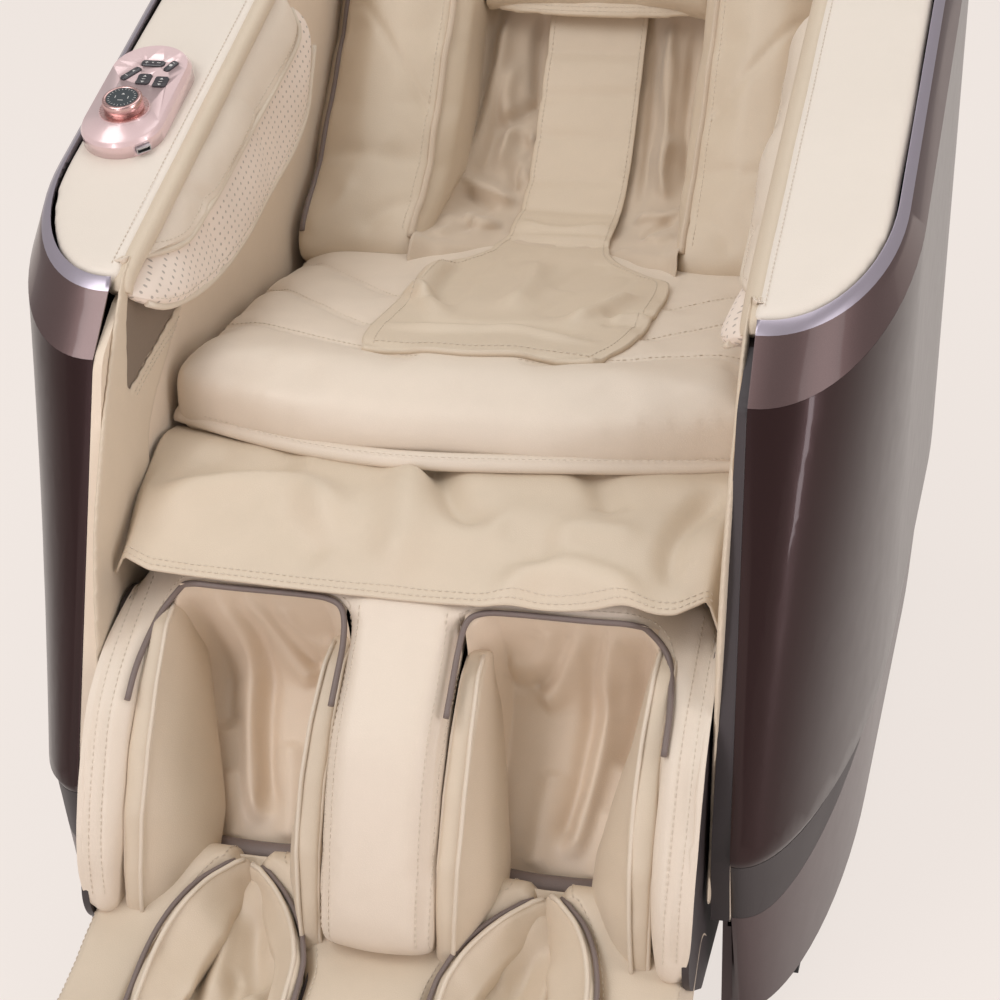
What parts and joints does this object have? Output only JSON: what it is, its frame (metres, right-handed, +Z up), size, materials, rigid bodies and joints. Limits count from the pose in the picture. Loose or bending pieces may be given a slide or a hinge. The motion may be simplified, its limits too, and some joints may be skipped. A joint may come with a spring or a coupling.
{
  "type": "massage chair",
  "caption": "Upholstered massage armchair with swept side shells, reclining back, roller carriage, lifting calf and foot rest and an arm-top control pod.",
  "frame": {"origin": "centre of the floor frame's flat underside", "axes": "+X towards the sitter's left arm side as seen from the front right, +Y from the toes to the back, +Z up"},
  "size_m": [0.774, 1.5495, 1.1348],
  "materials": {
    "pearl_brown": "metallic brown-mauve lacquer",
    "satin_brown": "satin metallic brown with a lilac bevel",
    "cream_leather": "smooth cream synthetic leather",
    "beige_leather": "soft beige synthetic leather",
    "perforated_fabric": "perforated mesh-like cloth",
    "beige_fabric": "loose beige cloth",
    "dark_insert": "matt dark grey",
    "lower_brown": "satin brown-mauve",
    "black_steel": "black powder coat",
    "zinc_steel": "zinc plated",
    "dark_plastic": "fine grained",
    "foot_plastic": "taupe, cloth covered",
    "roller_plastic": "moulded nylon",
    "wheel_rubber": "moulded",
    "rose_pearl": "rose-gold pearl",
    "knob_black": "dark gloss top",
    "button_gloss": "dark gloss",
    "port_metal": "plated sleeve"
  },
  "bodies": {
    "base": {"shell_l": "pearl_brown", "band_l": "satin_brown", "arm_pad_l": "cream_leather", "inner_panel_l": "beige_leather", "insert_l": "dark_insert", "lower_cover_l": "lower_brown", "airbag_upper_l": "beige_leather", "airbag_lower_l": "perforated_fabric", "shell_r": "pearl_brown", "band_r": "satin_brown", "arm_pad_r": "cream_leather", "inner_panel_r": "beige_leather", "insert_r": "dark_insert", "lower_cover_r": "lower_brown", "airbag_upper_r": "beige_leather", "airbag_lower_r": "perforated_fabric", "arm_frames": "black_steel", "base_frame": "black_steel", "rear_cover": "dark_plastic", "power_inlet": "dark_plastic", "seat_frame": "black_steel", "seat_cushion": "cream_leather", "seat_flap": "beige_leather", "seat_apron": "beige_leather", "controller_pod": "rose_pearl", "usb_port": "port_metal"},
    "castor_l": {"wheel_l": "wheel_rubber"},
    "castor_r": {"wheel_r": "wheel_rubber"},
    "mains_switch": {"power_switch": "dark_plastic"},
    "dial": {"knob": "knob_black"},
    "key_1": {"button_1": "button_gloss"},
    "key_2": {"button_2": "button_gloss"},
    "key_3": {"button_3": "button_gloss"},
    "tilt_key_1": {"rocker_1": "button_gloss"},
    "tilt_key_2": {"rocker_2": "button_gloss"},
    "backrest": {"back_frame": "black_steel", "back_shell": "pearl_brown", "bolster_l": "beige_leather", "bolster_r": "beige_leather", "back_cover": "beige_fabric", "back_strap": "beige_leather", "head_pad": "beige_leather", "head_pillow": "beige_leather"},
    "massage_carriage": {"carriage": "zinc_steel"},
    "low_rollers": {"rollers_low": "roller_plastic"},
    "high_rollers": {"rollers_high": "roller_plastic"},
    "leg_rest": {"leg_frame": "black_steel", "leg_housing": "dark_plastic", "leg_divider": "cream_leather", "calf_cover": "beige_leather", "leg_band_l": "cream_leather", "leg_band_r": "cream_leather", "calf_pads_l": "beige_leather", "calf_pads_r": "beige_leather"},
    "foot_unit": {"foot_housing": "foot_plastic", "foot_pads": "beige_leather"},
    "sole_rollers": {"foot_roller": "roller_plastic"}
  },
  "joints": [
    {"name": "castor_l_spin", "type": "hinge", "parent": "base", "child": "castor_l", "pos_m": [-0.3, 0.398, 0.022], "axis": [1, 0, 0], "continuous": true},
    {"name": "castor_r_spin", "type": "hinge", "parent": "base", "child": "castor_r", "pos_m": [0.3, 0.398, 0.022], "axis": [1, 0, 0], "continuous": true},
    {"name": "mains_switch_tilt", "type": "hinge", "parent": "base", "child": "mains_switch", "pos_m": [0.215, 0.42, 0.074], "axis": [1, 0, 0], "range_deg": [-12, 0]},
    {"name": "dial_turn", "type": "hinge", "parent": "base", "child": "dial", "pos_m": [-0.324, -0.24645, 0.6743], "axis": [0, -0.3134, 0.9496], "continuous": true},
    {"name": "leg_lift", "type": "hinge", "parent": "base", "child": "leg_rest", "pos_m": [0, -0.405, 0.372], "axis": [-1, 0, 0], "range_deg": [0, 60]},
    {"name": "foot_extension", "type": "slide", "parent": "leg_rest", "child": "foot_unit", "axis": [0, -0.5592, -0.829], "range_m": [0, 0.15]},
    {"name": "sole_roller_spin", "type": "hinge", "parent": "foot_unit", "child": "sole_rollers", "pos_m": [0, -0.712, 0.04], "axis": [1, 0, 0], "continuous": true},
    {"name": "back_recline", "type": "hinge", "parent": "base", "child": "backrest", "pos_m": [0, 0.11, 0.29], "axis": [-1, 0, 0], "range_deg": [0, 42]},
    {"name": "carriage_travel", "type": "slide", "parent": "backrest", "child": "massage_carriage", "axis": [0, 0.5878, 0.809], "range_m": [0, 0.37]},
    {"name": "low_roller_spin", "type": "hinge", "parent": "massage_carriage", "child": "low_rollers", "pos_m": [0, 0.24378, 0.49036], "axis": [1, 0, 0], "continuous": true},
    {"name": "high_roller_spin", "type": "hinge", "parent": "massage_carriage", "child": "high_rollers", "pos_m": [0, 0.31432, 0.58744], "axis": [1, 0, 0], "continuous": true},
    {"name": "key_1_press", "type": "slide", "parent": "base", "child": "key_1", "axis": [0, 0.3134, -0.9496], "range_m": [0, 0.0012], "stiffness_N_per_m": 400},
    {"name": "key_2_press", "type": "slide", "parent": "base", "child": "key_2", "axis": [0, 0.3134, -0.9496], "range_m": [0, 0.0012], "stiffness_N_per_m": 400},
    {"name": "key_3_press", "type": "slide", "parent": "base", "child": "key_3", "axis": [0, 0.3134, -0.9496], "range_m": [0, 0.0012], "stiffness_N_per_m": 400},
    {"name": "tilt_key_1_rock", "type": "hinge", "parent": "base", "child": "tilt_key_1", "pos_m": [-0.322, -0.20212, 0.69314], "axis": [1, 0, 0], "range_deg": [-4, 4], "stiffness_Nm_per_rad": 0.02},
    {"name": "tilt_key_2_rock", "type": "hinge", "parent": "base", "child": "tilt_key_2", "pos_m": [-0.305, -0.20497, 0.6922], "axis": [1, 0, 0], "range_deg": [-4, 4], "stiffness_Nm_per_rad": 0.02}
  ]
}
